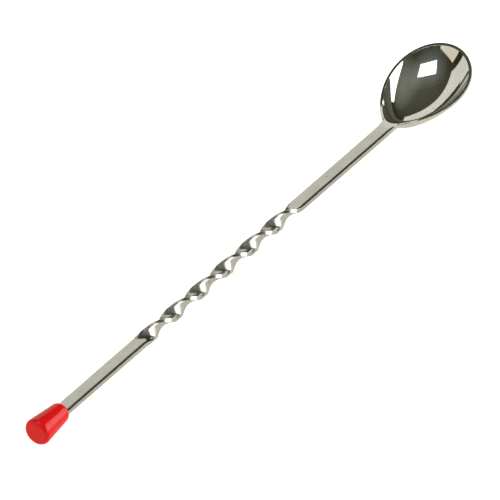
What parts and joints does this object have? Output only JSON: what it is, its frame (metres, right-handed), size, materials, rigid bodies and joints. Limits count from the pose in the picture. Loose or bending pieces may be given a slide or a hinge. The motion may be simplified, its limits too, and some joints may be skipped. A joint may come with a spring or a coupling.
{
  "type": "bar spoon",
  "caption": "Long stainless bar spoon with an egg-shaped bowl, a flat handle twisted along its middle, and a tapered plastic knob on the end.",
  "frame": {"origin": "middle of the underside of the box around the spoon, so the knob and the bottom of the bowl both touch z = 0", "axes": "+X along the handle from the knob towards the bowl, +Z out of the bowl's mouth, +Y to the left of the handle when looking along +X from above"},
  "size_m": [0.2789, 0.033, 0.0172],
  "materials": {
    "stainless_steel": "polished stainless steel, finely brushed along the handle's flat faces",
    "red_plastic": "semi-gloss moulded red plastic"
  },
  "bodies": {
    "root": {"spoon": "stainless_steel", "knob": "red_plastic"}
  },
  "joints": []
}
